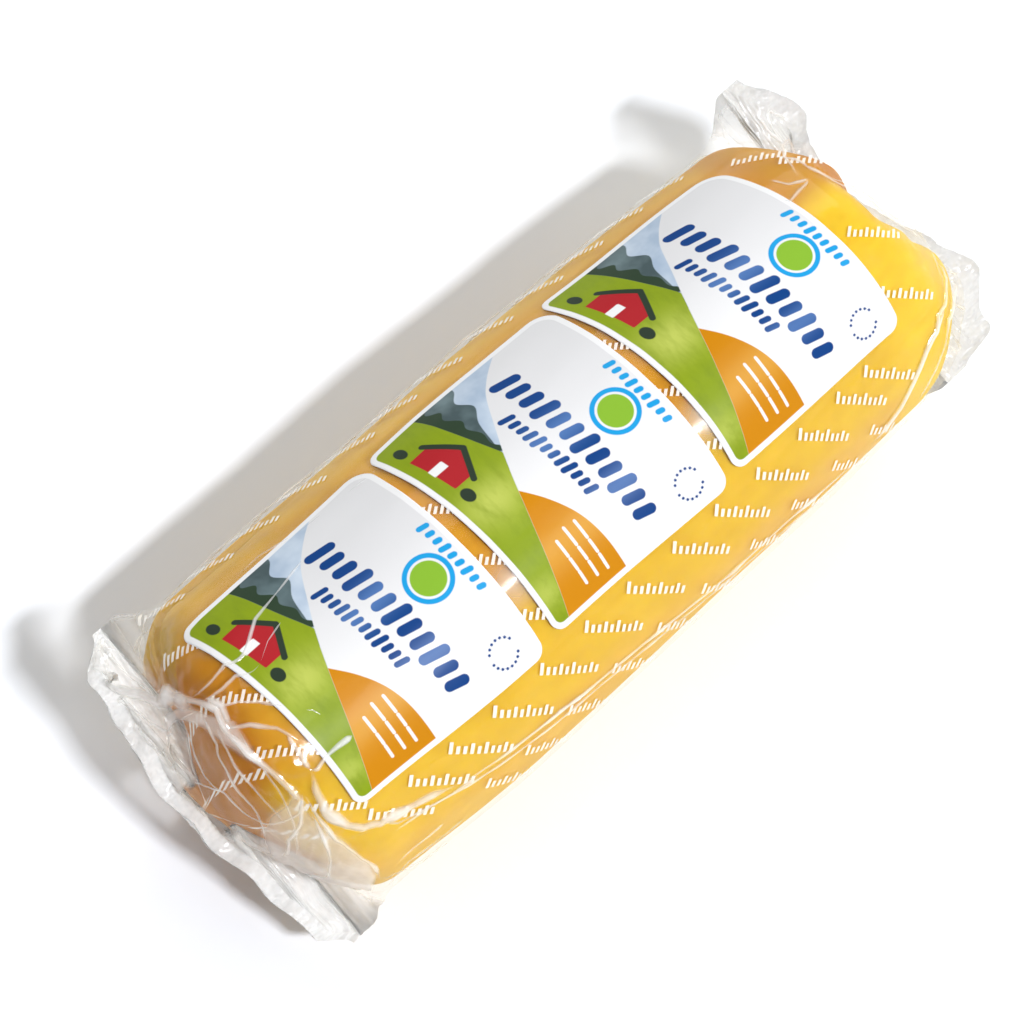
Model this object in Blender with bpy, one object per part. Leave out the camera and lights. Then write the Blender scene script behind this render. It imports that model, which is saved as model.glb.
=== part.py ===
"""Smoked cheese log, sealed in clear film, with three labels on its top.

The log lies along X with its base on z = 0.  +X is the far end, -Y the side in
the light, +Z up.  The pack is one lofted solid: a nearly round log whose ends
close into flat, crumpled film flaps.  Each label is a thin curved solid.
"""
import math

import bmesh
import bpy

# Log, in metres
HALF_WIDTH = 0.0480
HALF_HEIGHT = 0.0455
AXIS_HEIGHT = 0.0410
NEAR_FULL_X = -0.0880
FAR_FULL_X = 0.1020
NEAR_FACE_X = -0.1150
FAR_FACE_X = 0.1270
CAP_POWER = 2.5
SWELL = 0.0006
SWELL_LENGTH = 0.0900
SWELL_LEAN = 2.0
TAPER_LENGTH = 0.0500
NEAR_TAPER_X = -0.0450
FAR_TAPER_X = 0.0550
NEAR_REAR_TAPER = 0.0015
NEAR_FRONT_TAPER = 0.0030
FAR_REAR_TAPER = 0.0035
FAR_FRONT_TAPER = 0.0010

# Film flaps at the two ends
FLAP_HALF_THICKNESS = 0.0014
FLAP_ROOT_HALF_THICKNESS = 0.0045
FLAP_TILT = math.radians(29.0)
FLAP_ROOT_WIDTH = 0.0360
FLAP_REAR_SPREAD = 0.65
FLAP_FRONT_SPREAD = 0.65
FLAP_THINNING = 0.75
FLAP_JOIN_POWER = 10.0
FLAP_CORNER_POWER = 4.0
FLAP_WAVE = 0.0022
FLAP_WAVES = 5.5
FLAP_WAVE_LEAN = 40.0
FLAP_WAVE_POWER = 3.0
NEAR_REAR_REACH = 0.0515
NEAR_FRONT_REACH = 0.0495
FAR_REAR_REACH = 0.0545
FAR_FRONT_REACH = 0.0475
FAR_CROWN = 0.0060
# Outer edge of a flap from the rear tip to the front tip: place across, x
NEAR_EDGE = (
    (1.00, -0.1085),
    (0.82, -0.1165),
    (0.60, -0.1175),
    (0.25, -0.1205),
    (-0.10, -0.1195),
    (-0.50, -0.1165),
    (-0.85, -0.1140),
    (-1.00, -0.1070),
)
FAR_EDGE = (
    (1.00, 0.1270),
    (0.66, 0.1365),
    (0.52, 0.1290),
    (0.20, 0.1290),
    (-0.10, 0.1370),
    (-0.55, 0.1485),
    (-0.90, 0.1425),
    (-1.00, 0.1290),
)
NEAR_EDGE_X = -0.1200
FAR_EDGE_X = 0.1380

# Labels: place along X, then at the near and the far end edge how far it lies
# from the middle, its slant and its bow, then the angles of the rear and the
# front edge from the top, each with its turn
LABELS = (
    ("label_near", -0.0650, (-0.0304, 0.0017, 0.0014), (0.0313, 0.0000, 0.0003),
     (-0.575, -0.044), (0.906, 0.016)),
    ("label_middle", 0.0000, (-0.0304, 0.0015, 0.0012), (0.0315, 0.0002, 0.0005),
     (-0.634, -0.005), (0.902, 0.015)),
    ("label_far", 0.0650, (-0.0320, 0.0019, 0.0023), (0.0299, 0.0028, 0.0023),
     (-0.647, 0.053), (0.895, 0.010)),
)
LABEL_HALF_LENGTH = 0.0300
LABEL_ARC = 0.0720
LABEL_CORNER = 0.0036
LABEL_TOP_CORNER = 0.0062
LABEL_CLEARANCE = 0.0005
LABEL_THICKNESS = 0.0004
LEAN_SHARE = 0.8

# Looks
PACK_COLOUR = (0.86, 0.55, 0.12, 1.0)
PACK_ROUGHNESS = 0.25
LABEL_COLOUR = (0.93, 0.93, 0.92, 1.0)
LABEL_ROUGHNESS = 0.3

# Mesh steps, and how the lines gather to the flaps' tips
GATHER_RATE = 1.25
GATHER_POWER = 0.5
GATHER_CAP = 0.8
AROUND = 56
BODY_STEPS = 36
CAP_STEPS = 16
FLAP_STEPS = 7
LABEL_ACROSS = 12
LABEL_ALONG = 7
LABEL_ROW_POWER = 1.4
LABEL_CORNER_STEPS = 5


def smooth_step(value):
    t = min(max(value, 0.0), 1.0)
    return t * t * (3.0 - 2.0 * t)


def along(table, place):
    """Height of a smooth line through the table's points, which fall in place."""
    if place >= table[0][0]:
        return table[0][1]
    for (a, x_a), (b, x_b) in zip(table, table[1:]):
        if place >= b:
            t = (a - place) / (a - b)
            return x_a + (x_b - x_a) * smooth_step(t)
    return table[-1][1]


def cap_scale(x):
    """Size of the log's section: 1 along its length, 0 at its end faces."""
    if x < NEAR_FULL_X:
        t = (NEAR_FULL_X - x) / (NEAR_FULL_X - NEAR_FACE_X)
    elif x > FAR_FULL_X:
        t = (x - FAR_FULL_X) / (FAR_FACE_X - FAR_FULL_X)
    else:
        return 1.0
    if t >= 1.0:
        return 0.0
    return (1.0 - t ** CAP_POWER) ** (1.0 / CAP_POWER)


def half_width(x, c):
    """The log narrows towards its ends, on its rear (c > 0) and front side."""
    near = smooth_step((NEAR_TAPER_X - x) / TAPER_LENGTH)
    far = smooth_step((x - FAR_TAPER_X) / TAPER_LENGTH)
    if c > 0.0:
        return HALF_WIDTH - NEAR_REAR_TAPER * near - FAR_REAR_TAPER * far
    return HALF_WIDTH - NEAR_FRONT_TAPER * near - FAR_FRONT_TAPER * far


def body_radius(x, angle):
    """Distance from the axis to the log's surface; angle runs from +Y over the top."""
    c = math.cos(angle)
    s = math.sin(angle)
    radius = 1.0 / math.hypot(c / half_width(x, c), s / HALF_HEIGHT)
    wave = math.sin(math.tau * x / SWELL_LENGTH + SWELL_LEAN * angle)
    radius += SWELL * wave * math.sqrt(max(s, 0.0))
    radius *= cap_scale(x)
    if s < 0.0:
        radius = min(radius, AXIS_HEIGHT / -s)
    return radius


def end_share(x):
    """0 where the log is full, 1 at the outer edge of a flap."""
    if x < NEAR_FULL_X:
        return min((NEAR_FULL_X - x) / (NEAR_FULL_X - NEAR_EDGE_X), 1.0)
    if x > FAR_FULL_X:
        return min((x - FAR_FULL_X) / (FAR_EDGE_X - FAR_FULL_X), 1.0)
    return 0.0


def flap_reach(x, across):
    """Half width of the flap on its rear (across > 0) or front side."""
    if x < 0.0:
        full = NEAR_REAR_REACH if across > 0.0 else NEAR_FRONT_REACH
    else:
        full = FAR_REAR_REACH if across > 0.0 else FAR_FRONT_REACH
    spread = FLAP_REAR_SPREAD if across > 0.0 else FLAP_FRONT_SPREAD
    return FLAP_ROOT_WIDTH + (full - FLAP_ROOT_WIDTH) * smooth_step(end_share(x) / spread)


def flap_radius(x, angle):
    share = end_share(x)
    if share <= 0.0:
        return 0.0
    c = math.cos(angle - FLAP_TILT)
    s = math.sin(angle - FLAP_TILT)
    reach = flap_reach(x, c)
    thin = smooth_step(share / FLAP_THINNING)
    thick = FLAP_ROOT_HALF_THICKNESS + (FLAP_HALF_THICKNESS - FLAP_ROOT_HALF_THICKNESS) * thin
    power = FLAP_CORNER_POWER
    total = abs(c / reach) ** power + abs(s / thick) ** power
    return total ** (-1.0 / power)


def pack_radius(x, angle):
    body = body_radius(x, angle)
    flap = flap_radius(x, angle)
    largest = max(body, flap)
    least = min(body, flap)
    p = FLAP_JOIN_POWER
    radius = largest * (1.0 + (least / largest) ** p) ** (1.0 / p)
    s = math.sin(angle)
    if s < 0.0:
        radius = min(radius, AXIS_HEIGHT / -s)
    return radius


def sample(x, turn):
    """Direction of a mesh line and its place across the flap, -1 to 1.

    The lines are even round the log and gathered to the flap's two tips.
    """
    share = smooth_step(end_share(x) * GATHER_RATE)
    c = math.cos(turn)
    s = math.sin(turn)
    tall = HALF_HEIGHT + (FLAP_HALF_THICKNESS - HALF_HEIGHT) * share
    tall = max(tall, HALF_HEIGHT * cap_scale(x) * GATHER_CAP)
    power = 1.0 - GATHER_POWER * share
    across = math.copysign(abs(c) ** power, c)
    upward = math.copysign(abs(s) ** power, s)
    reach = HALF_WIDTH + (flap_reach(x, c) - HALF_WIDTH) * share
    return FLAP_TILT + math.atan2(tall * upward, reach * across), across


def pack_point(x, turn):
    angle, across = sample(x, turn)
    radius = pack_radius(x, angle)
    y = radius * math.cos(angle)
    z = radius * math.sin(angle)
    share = end_share(x)
    if share > 0.0:
        near_edge = share ** FLAP_WAVE_POWER
        phase = math.pi * FLAP_WAVES * across + FLAP_WAVE_LEAN * x
        lift = FLAP_WAVE * near_edge * math.sin(phase)
        if x < 0.0:
            edge = along(NEAR_EDGE, across)
            x = NEAR_FULL_X + (edge - NEAR_FULL_X) * share
        else:
            edge = along(FAR_EDGE, across)
            x = FAR_FULL_X + (edge - FAR_FULL_X) * share
            lift += FAR_CROWN * near_edge * (1.0 - across * across)
        y -= lift * math.sin(FLAP_TILT)
        z += lift * math.cos(FLAP_TILT)
    return (x, y, max(z + AXIS_HEIGHT, 0.0))


def stations():
    """Places along X, closer together where the ends curve in."""
    places = []
    for i in range(FLAP_STEPS):
        places.append(NEAR_EDGE_X + (NEAR_FACE_X - NEAR_EDGE_X) * i / FLAP_STEPS)
    for i in range(CAP_STEPS):
        t = i / CAP_STEPS
        places.append(NEAR_FACE_X + (NEAR_FULL_X - NEAR_FACE_X) * t * t * (2.0 - t))
    for i in range(BODY_STEPS):
        places.append(NEAR_FULL_X + (FAR_FULL_X - NEAR_FULL_X) * i / BODY_STEPS)
    for i in range(CAP_STEPS):
        t = 1.0 - i / CAP_STEPS
        places.append(FAR_FACE_X + (FAR_FULL_X - FAR_FACE_X) * t * t * (2.0 - t))
    for i in range(FLAP_STEPS + 1):
        places.append(FAR_FACE_X + (FAR_EDGE_X - FAR_FACE_X) * i / FLAP_STEPS)
    return places


def finish(bm, name, colour, roughness):
    bmesh.ops.recalc_face_normals(bm, faces=bm.faces)
    mesh = bpy.data.meshes.new(name)
    bm.to_mesh(mesh)
    bm.free()
    mesh.shade_smooth()
    material = bpy.data.materials.new(name + "_material")
    material.use_nodes = True
    shader = material.node_tree.nodes["Principled BSDF"]
    shader.inputs["Base Color"].default_value = colour
    shader.inputs["Roughness"].default_value = roughness
    mesh.materials.append(material)
    part = bpy.data.objects.new(name, mesh)
    bpy.context.scene.collection.objects.link(part)
    return part


def make_pack():
    bm = bmesh.new()
    rings = []
    for x in stations():
        ring = []
        for j in range(AROUND):
            turn = math.tau * j / AROUND
            ring.append(bm.verts.new(pack_point(x, turn)))
        rings.append(ring)
    for ring, following in zip(rings, rings[1:]):
        for j in range(AROUND):
            k = (j + 1) % AROUND
            bm.faces.new((ring[j], ring[k], following[k], following[j]))
    close_end(bm, rings[0])
    close_end(bm, rings[-1])
    return finish(bm, "pack", PACK_COLOUR, PACK_ROUGHNESS)


def close_end(bm, ring):
    """Strip of faces from the flap's upper line of points to its lower one."""
    half = AROUND // 2
    bm.faces.new((ring[0], ring[1], ring[-1]))
    bm.faces.new((ring[half], ring[half + 1], ring[half - 1]))
    for j in range(1, half - 1):
        bm.faces.new((ring[j], ring[j + 1], ring[-j - 1], ring[-j]))


def label_columns():
    """Places across a label, 0 to 1, with more of them at its rounded corners."""
    corner = LABEL_TOP_CORNER / LABEL_ARC
    places = []
    for i in range(LABEL_CORNER_STEPS):
        places.append(corner * (1.0 - math.cos(0.5 * math.pi * i / LABEL_CORNER_STEPS)))
    for i in range(LABEL_ACROSS + 1):
        places.append(corner + (1.0 - 2.0 * corner) * i / LABEL_ACROSS)
    for i in reversed(range(LABEL_CORNER_STEPS)):
        places.append(1.0 - places[i])
    return places


def end_edge(edge, across):
    """Place along X of a label's end edge, across from -1 at the rear to 1."""
    middle, slant, bow = edge
    return middle + slant * across + bow * (1.0 - across * across)


def corner_inset(u, corner):
    """How far a label's end edge draws back near its rounded corners."""
    from_side = LABEL_ARC * min(u, 1.0 - u)
    if from_side >= corner:
        return 0.0
    gap = corner - from_side
    return corner - math.sqrt(max(corner * corner - gap * gap, 0.0))


def label_angle(u, offset, rear, front):
    """Direction of a label point, turned from the top towards the front."""
    place = offset / LABEL_HALF_LENGTH
    low = rear[0] + rear[1] * place
    high = front[0] + front[1] * place
    return 0.5 * math.pi + low + (high - low) * u


def surface_radius(x, angle):
    """Pack radius at x, where the near end's lines lean with the flap's edge."""
    if x < NEAR_FULL_X:
        edge = along(NEAR_EDGE, LEAN_SHARE * math.cos(angle - FLAP_TILT))
        lean = (NEAR_EDGE_X - NEAR_FULL_X) / (edge - NEAR_FULL_X)
        x = NEAR_FULL_X + (x - NEAR_FULL_X) * lean
    return pack_radius(x, angle)


def make_label(name, centre, near, far, rear, front):
    bm = bmesh.new()
    layers = []
    for height in (LABEL_CLEARANCE, LABEL_CLEARANCE + LABEL_THICKNESS):
        columns = []
        for u in label_columns():
            column = []
            across = 2.0 * u - 1.0
            top_corner = LABEL_TOP_CORNER if u < 0.5 else LABEL_CORNER
            low = end_edge(near, across) + corner_inset(u, LABEL_CORNER)
            high = end_edge(far, across) - corner_inset(u, top_corner)
            for i in range(LABEL_ALONG + 1):
                offset = low + (high - low) * (i / LABEL_ALONG) ** LABEL_ROW_POWER
                angle = label_angle(u, offset, rear, front)
                radius = surface_radius(centre + offset, angle) + height
                y = radius * math.cos(angle)
                z = radius * math.sin(angle) + AXIS_HEIGHT
                column.append(bm.verts.new((centre + offset, y, z)))
            columns.append(column)
        layers.append(columns)
    for columns in layers:
        for a, b in zip(columns, columns[1:]):
            for i in range(LABEL_ALONG):
                bm.faces.new((a[i], a[i + 1], b[i + 1], b[i]))
    lower, upper = (label_rim(columns) for columns in layers)
    for i in range(len(lower)):
        k = (i + 1) % len(lower)
        bm.faces.new((lower[i], lower[k], upper[k], upper[i]))
    return finish(bm, name, LABEL_COLOUR, LABEL_ROUGHNESS)


def label_rim(columns):
    rim = list(columns[0])
    rim += [column[-1] for column in columns[1:]]
    rim += list(reversed(columns[-1]))[1:]
    rim += [column[0] for column in reversed(columns[1:-1])]
    return rim


for old in list(bpy.data.objects):
    bpy.data.objects.remove(old, do_unlink=True)

make_pack()
for label in LABELS:
    make_label(*label)
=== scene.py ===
"""Smoked cheese log in a clear film pack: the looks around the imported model.

Metres, +Z up.  The log lies along X, its near end at -X, the side in the light at -Y.
The film follows the pack's surface, so its measures are repeated here.
"""
import math

import bpy
import numpy as np
from mathutils import Matrix, Vector


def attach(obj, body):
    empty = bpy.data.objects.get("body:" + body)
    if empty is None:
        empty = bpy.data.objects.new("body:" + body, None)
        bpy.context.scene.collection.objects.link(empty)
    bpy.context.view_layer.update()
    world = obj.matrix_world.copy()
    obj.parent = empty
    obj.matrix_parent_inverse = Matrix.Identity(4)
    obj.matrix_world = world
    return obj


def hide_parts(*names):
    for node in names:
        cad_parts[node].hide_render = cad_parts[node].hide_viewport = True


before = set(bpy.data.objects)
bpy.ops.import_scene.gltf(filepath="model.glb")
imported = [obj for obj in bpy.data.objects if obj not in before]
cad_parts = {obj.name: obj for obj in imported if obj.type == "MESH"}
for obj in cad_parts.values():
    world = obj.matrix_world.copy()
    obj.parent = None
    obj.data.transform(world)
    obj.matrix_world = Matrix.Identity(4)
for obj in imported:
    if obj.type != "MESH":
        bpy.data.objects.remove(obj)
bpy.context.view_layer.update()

# Pack surface, as in the model
HALF_WIDTH = 0.048
HALF_HEIGHT = 0.0455
AXIS_HEIGHT = 0.041
NEAR_FULL_X = -0.088
FAR_FULL_X = 0.102
NEAR_FACE_X = -0.115
FAR_FACE_X = 0.127
CAP_POWER = 2.5
SWELL = 0.0006
SWELL_LENGTH = 0.09
SWELL_LEAN = 2.0
TAPER_LENGTH = 0.05
NEAR_TAPER_X = -0.045
FAR_TAPER_X = 0.055
NEAR_REAR_TAPER = 0.0015
NEAR_FRONT_TAPER = 0.003
FAR_REAR_TAPER = 0.0035
FAR_FRONT_TAPER = 0.001
FLAP_ROOT_HALF_THICKNESS = 0.0045
FLAP_TILT = math.radians(29.0)
FLAP_ROOT_WIDTH = 0.036
FLAP_SPREAD = 0.65
FLAP_THINNING = 0.75
FLAP_JOIN_POWER = 10.0
FLAP_CORNER_POWER = 4.0
FLAP_WAVE = 0.0022
FLAP_WAVES = 5.5
FLAP_WAVE_LEAN = 40.0
FLAP_WAVE_POWER = 3.0
NEAR_REAR_REACH = 0.0515
NEAR_FRONT_REACH = 0.0495
FAR_REAR_REACH = 0.0545
FAR_FRONT_REACH = 0.0475
FAR_CROWN = 0.006
NEAR_EDGE = ((1.00, -0.1085), (0.82, -0.1165), (0.60, -0.1175), (0.25, -0.1205),
             (-0.10, -0.1195), (-0.50, -0.1165), (-0.85, -0.1140), (-1.00, -0.1070))
FAR_EDGE = ((1.00, 0.1270), (0.66, 0.1365), (0.52, 0.1290), (0.20, 0.1290),
            (-0.10, 0.1370), (-0.55, 0.1485), (-0.90, 0.1425), (-1.00, 0.1290))
NEAR_EDGE_X = -0.12
FAR_EDGE_X = 0.138
# Name, station, near and far edge (middle, slant, bow), rear and front edge (angle, slope)
LABELS = (
    ("label_near", -0.065, (-0.0304, 0.0017, 0.0014), (0.0313, 0.0, 0.0003),
     (-0.575, -0.044), (0.906, 0.016)),
    ("label_middle", 0.0, (-0.0304, 0.0015, 0.0012), (0.0315, 0.0002, 0.0005),
     (-0.634, -0.005), (0.902, 0.015)),
    ("label_far", 0.065, (-0.032, 0.0019, 0.0023), (0.0299, 0.0028, 0.0023),
     (-0.647, 0.053), (0.895, 0.01)),
)
LABEL_HALF_LENGTH = 0.03
LABEL_ARC = 0.072
LABEL_CORNER = 0.0036
LABEL_TOP_CORNER = 0.0062
LEAN_SHARE = 0.8

# Film sheet and what lies inside it
PLY_HALF_THICKNESS = 0.0006
GATHER_RATE = 1.25
GATHER_POWER = 0.5
GATHER_CAP = 0.8

# Mesh steps
AROUND = 380
NEAR_STEPS = 150
BODY_STEPS = 250
FAR_STEPS = 165
NEAR_SPLIT_X = -0.08
FAR_SPLIT_X = 0.096
NEAR_EDGE_SHARE = 0.985
FAR_EDGE_SHARE = 0.995
WAIST_INSET = 0.0005
ROOT_ROWS = 26


def smooth(value):
    t = np.clip(value, 0.0, 1.0)
    return t * t * (3.0 - 2.0 * t)


def rise(value, start, width):
    return smooth((value - start) / width)


def fall(value, start, width):
    return smooth((start - value) / width)


def hump(value, middle, width):
    return np.exp(-((value - middle) / width) ** 2)


def along(table, place):
    """Height of a smooth line through the table's points, which fall in place."""
    rows = np.array(table[::-1])
    place = np.asarray(place, float)
    k = np.clip(np.searchsorted(rows[:, 0], place), 1, len(rows) - 1)
    t = (place - rows[k - 1, 0]) / (rows[k, 0] - rows[k - 1, 0])
    return rows[k - 1, 1] + (rows[k, 1] - rows[k - 1, 1]) * smooth(t)


def cap_scale(x, near_face=NEAR_FACE_X, far_face=FAR_FACE_X):
    near = (NEAR_FULL_X - x) / (NEAR_FULL_X - near_face)
    far = (x - FAR_FULL_X) / (far_face - FAR_FULL_X)
    t = np.clip(np.maximum(near, far), 0.0, 1.0)
    return (1.0 - t ** CAP_POWER) ** (1.0 / CAP_POWER)


def half_width(x, c):
    near = fall(x, NEAR_TAPER_X, TAPER_LENGTH)
    far = rise(x, FAR_TAPER_X, TAPER_LENGTH)
    rear = HALF_WIDTH - NEAR_REAR_TAPER * near - FAR_REAR_TAPER * far
    front = HALF_WIDTH - NEAR_FRONT_TAPER * near - FAR_FRONT_TAPER * far
    return np.where(c > 0.0, rear, front)


def above_floor(radius, angle):
    s = np.sin(angle)
    lowest = AXIS_HEIGHT / np.maximum(-s, 1e-9)
    return np.where(s < 0.0, np.minimum(radius, lowest), radius)


def body_radius(x, angle, scale=None):
    """Distance from the axis to the log's surface; angle runs from +Y over the top."""
    c = np.cos(angle)
    s = np.sin(angle)
    radius = 1.0 / np.hypot(c / half_width(x, c), s / HALF_HEIGHT)
    wave = np.sin(math.tau * x / SWELL_LENGTH + SWELL_LEAN * angle)
    radius = radius + SWELL * wave * np.sqrt(np.maximum(s, 0.0))
    radius = radius * (cap_scale(x) if scale is None else scale)
    return above_floor(radius, angle)


def end_share(x):
    """0 where the log is full, 1 at the outer edge of a flap."""
    near = (NEAR_FULL_X - x) / (NEAR_FULL_X - NEAR_EDGE_X)
    far = (x - FAR_FULL_X) / (FAR_EDGE_X - FAR_FULL_X)
    return np.clip(np.maximum(near, far), 0.0, 1.0)


def flap_reach(x, across):
    near = np.where(across > 0.0, NEAR_REAR_REACH, NEAR_FRONT_REACH)
    far = np.where(across > 0.0, FAR_REAR_REACH, FAR_FRONT_REACH)
    full = np.where(x < 0.0, near, far)
    return FLAP_ROOT_WIDTH + (full - FLAP_ROOT_WIDTH) * smooth(end_share(x) / FLAP_SPREAD)


def flap_radius(x, angle):
    share = end_share(x)
    c = np.cos(angle - FLAP_TILT)
    s = np.sin(angle - FLAP_TILT)
    thin = smooth(share / FLAP_THINNING)
    thick = FLAP_ROOT_HALF_THICKNESS + (PLY_HALF_THICKNESS - FLAP_ROOT_HALF_THICKNESS) * thin
    power = FLAP_CORNER_POWER
    total = np.abs(c / flap_reach(x, c)) ** power + np.abs(s / thick) ** power
    return np.where(share > 0.0, total ** (-1.0 / power), 0.0)


def pack_radius(x, angle):
    body = body_radius(x, angle)
    flap = flap_radius(x, angle)
    largest = np.maximum(body, flap)
    least = np.minimum(body, flap)
    p = FLAP_JOIN_POWER
    radius = largest * (1.0 + (least / largest) ** p) ** (1.0 / p)
    return above_floor(radius, angle)


def sample(x, t):
    """Direction of a mesh line and its place across the flap, -1 to 1."""
    share = smooth(end_share(x) * GATHER_RATE)
    power = 1.0 - GATHER_POWER * share
    across = np.cos(t)
    rest = np.maximum(1.0 - np.abs(across) ** (2.0 / power), 0.0) ** (0.5 * power)
    upward = np.copysign(rest, np.sin(t))
    tall = HALF_HEIGHT + (PLY_HALF_THICKNESS - HALF_HEIGHT) * share
    tall = np.maximum(tall, HALF_HEIGHT * cap_scale(x) * GATHER_CAP)
    reach = HALF_WIDTH + (flap_reach(x, across) - HALF_WIDTH) * share
    angle = FLAP_TILT + np.arctan2(tall * upward, reach * across)
    return angle, np.broadcast_to(across, angle.shape)


def leaned(x, across):
    """Place along X of a station's line, which leans with the flap's outer edge."""
    share = end_share(x)
    near = NEAR_FULL_X + (along(NEAR_EDGE, across) - NEAR_FULL_X) * share
    far = FAR_FULL_X + (along(FAR_EDGE, across) - FAR_FULL_X) * share
    return np.where(share > 0.0, np.where(x < 0.0, near, far), x)


def stack(*parts):
    return np.stack(np.broadcast_arrays(*parts), axis=-1)


def film_point(x, t):
    angle, across = sample(x, t)
    radius = pack_radius(x, angle)
    share = end_share(x)
    edge = share ** FLAP_WAVE_POWER
    lift = FLAP_WAVE * edge * np.sin(math.pi * FLAP_WAVES * across + FLAP_WAVE_LEAN * x)
    lift = lift + np.where(x > 0.0, FAR_CROWN * edge * (1.0 - across * across), 0.0)
    y = radius * np.cos(angle) - lift * math.sin(FLAP_TILT)
    z = radius * np.sin(angle) + lift * math.cos(FLAP_TILT) + AXIS_HEIGHT
    return stack(leaned(x, across), y, np.maximum(z, 0.0))


def grid_normals(points):
    """Outward normals of a grid that is closed along its second axis."""
    along_x = np.gradient(points, axis=0)
    around = np.roll(points, -1, axis=1) - np.roll(points, 1, axis=1)
    normals = np.cross(around, along_x)
    normals /= np.maximum(np.linalg.norm(normals, axis=-1, keepdims=True), 1e-12)
    return normals


def make_mesh(name, points, faces, material, attributes=None, normals=None):
    mesh = bpy.data.meshes.new(name)
    points = np.asarray(points, float).reshape(-1, 3)
    mesh.from_pydata(points.tolist(), [], faces)
    mesh.shade_smooth()
    for key, values in (attributes or {}).items():
        layer = mesh.attributes.new(key, "FLOAT", "POINT")
        layer.data.foreach_set("value", np.ascontiguousarray(values, np.float32).ravel())
    if normals is not None:
        mesh.normals_split_custom_set_from_vertices(np.asarray(normals).reshape(-1, 3).tolist())
    mesh.materials.append(material)
    piece = bpy.data.objects.new(name, mesh)
    bpy.context.scene.collection.objects.link(piece)
    return piece


def grid_faces(rows, count, closed=True, start=0):
    """Faces between the rows of a grid of points, closed or open along its rows."""
    faces = []
    for base in range(start, start + (rows - 1) * count, count):
        for j in range(count if closed else count - 1):
            k = (j + 1) % count
            faces.append((base + j, base + k, base + count + k, base + count + j))
    return faces


def end_faces(start, count, flip):
    """Strip of faces that closes a flap's outer edge, from its upper to its lower ply."""
    half = count // 2
    faces = [(start, start + 1, start + count - 1),
             (start + half - 1, start + half, start + half + 1)]
    for j in range(1, half - 1):
        faces.append((start + j, start + j + 1, start + count - j - 1, start + count - j))
    if flip:
        faces = [tuple(reversed(face)) for face in faces]
    return faces


# --- materials

def new_material(name):
    material = bpy.data.materials.new(name)
    material.use_nodes = True
    material.node_tree.nodes.clear()
    return material, material.node_tree


def put(tree, socket, value):
    """Links an input to another node's output, or sets its value; colours are opaque."""
    if isinstance(value, bpy.types.NodeSocket):
        tree.links.new(value, socket)
    else:
        socket.default_value = value + (1.0,) if socket.type == "RGBA" else value


def node(tree, kind, *inputs, out=0, **values):
    """One output of a new node; inputs go by place or by name, and settings by name."""
    made = tree.nodes.new(kind)
    for key, value in values.items():
        if key in made.inputs:
            put(tree, made.inputs[key], value)
        else:
            setattr(made, key, value)
    for socket, value in zip(made.inputs, inputs):
        put(tree, socket, value)
    return made.outputs[out]


def finished(material, shader):
    output = material.node_tree.nodes.new("ShaderNodeOutputMaterial")
    material.node_tree.links.new(shader, output.inputs["Surface"])
    return material


def attribute(tree, name):
    return node(tree, "ShaderNodeAttribute", attribute_name=name, out="Fac")


def math_node(tree, operation, a, b, clamp=False):
    return node(tree, "ShaderNodeMath", a, b, operation=operation, use_clamp=clamp)


def noise_node(tree, scale, detail=3.0, roughness=0.55, stretch=(1.0, 1.0, 1.0)):
    place = node(tree, "ShaderNodeTexCoord", out="Object")
    mapped = node(tree, "ShaderNodeMapping", Vector=place, Scale=stretch)
    return node(tree, "ShaderNodeTexNoise", Vector=mapped, Scale=scale, Detail=detail,
                Roughness=roughness)


def ramp(tree, value, low, high, low_to=0.0, high_to=1.0):
    return node(tree, "ShaderNodeMapRange", value, low, high, low_to, high_to)


def mix_colour(tree, factor, a, b):
    made = tree.nodes.new("ShaderNodeMix")
    made.data_type = "RGBA"
    for place, value in ((0, factor), (6, a), (7, b)):
        put(tree, made.inputs[place], value)
    return made.outputs[2]


def mix_shader(tree, factor, a, b):
    return node(tree, "ShaderNodeMixShader", factor, a, b)


def bump_node(tree, height, strength, distance):
    return node(tree, "ShaderNodeBump", Height=height, Strength=strength, Distance=distance)


def film_material():
    material, tree = new_material("clear_film")
    normal = bump_node(tree, noise_node(tree, 420.0, 2.0), 0.10, 0.0004)
    clear = node(tree, "ShaderNodeBsdfTransparent", Color=(0.99, 0.985, 0.97))
    tone = mix_colour(tree, attribute(tree, "grey"), (0.95, 0.95, 0.935), (0.76, 0.76, 0.75))
    white = node(tree, "ShaderNodeBsdfDiffuse", Color=tone, Normal=normal)
    glow = node(tree, "ShaderNodeBsdfTranslucent", Color=tone)
    cloud = ramp(tree, noise_node(tree, 60.0, 4.0), 0.3, 0.7, 0.75, 1.2)
    # whiteness of the film: milky film, with painted highlights in the folds, along the near
    # ridge and between the labels
    haze_and_sheen = math_node(tree, "MULTIPLY", attribute(tree, "milk_and_sheen"), cloud, clamp=True)
    sheet = mix_shader(tree, haze_and_sheen, clear, mix_shader(tree, 0.42, white, glow))
    gloss = node(tree, "ShaderNodeBsdfGlossy", Color=(1.0, 1.0, 1.0), Roughness=0.14,
                 Normal=normal)
    edge = node(tree, "ShaderNodeFresnel", IOR=1.50, Normal=normal)
    # light leaves the pack freely: only the film's outer side reflects
    side = node(tree, "ShaderNodeNewGeometry", out="Backfacing")
    outer = math_node(tree, "SUBTRACT", 1.0, side)
    damped = math_node(tree, "MULTIPLY", ramp(tree, haze_and_sheen, 0.0, 0.9, 0.8, 0.25), outer)
    shine = math_node(tree, "MULTIPLY", math_node(tree, "MINIMUM", edge, 0.12), damped)
    return finished(material, mix_shader(tree, shine, sheet, gloss))


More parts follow.
